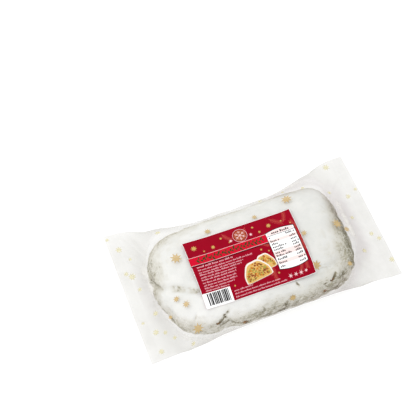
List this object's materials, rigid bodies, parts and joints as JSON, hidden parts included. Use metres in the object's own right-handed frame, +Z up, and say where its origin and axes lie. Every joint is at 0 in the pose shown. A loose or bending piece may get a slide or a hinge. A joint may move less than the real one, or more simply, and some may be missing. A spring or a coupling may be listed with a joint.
{
  "type": "stollen in a sealed bag",
  "caption": "Small powdered stollen loaf sealed in a clear star-printed pillow bag with flat end seals and a rectangular paper label on top.",
  "frame": {"origin": "on the ground under the middle of the bag", "axes": "+X along the bag, +Z up, +Y towards the back, where the fold's larger lobe lies"},
  "size_m": [0.216, 0.12, 0.0402],
  "materials": {
    "film": "clear slightly milky film, glossy, printed with small gold stars, over a loaf dusted with powdered sugar",
    "label_paper": "coated paper, satin, printed deep red"
  },
  "bodies": {
    "root": {"bag": "film", "label": "label_paper"}
  },
  "joints": []
}
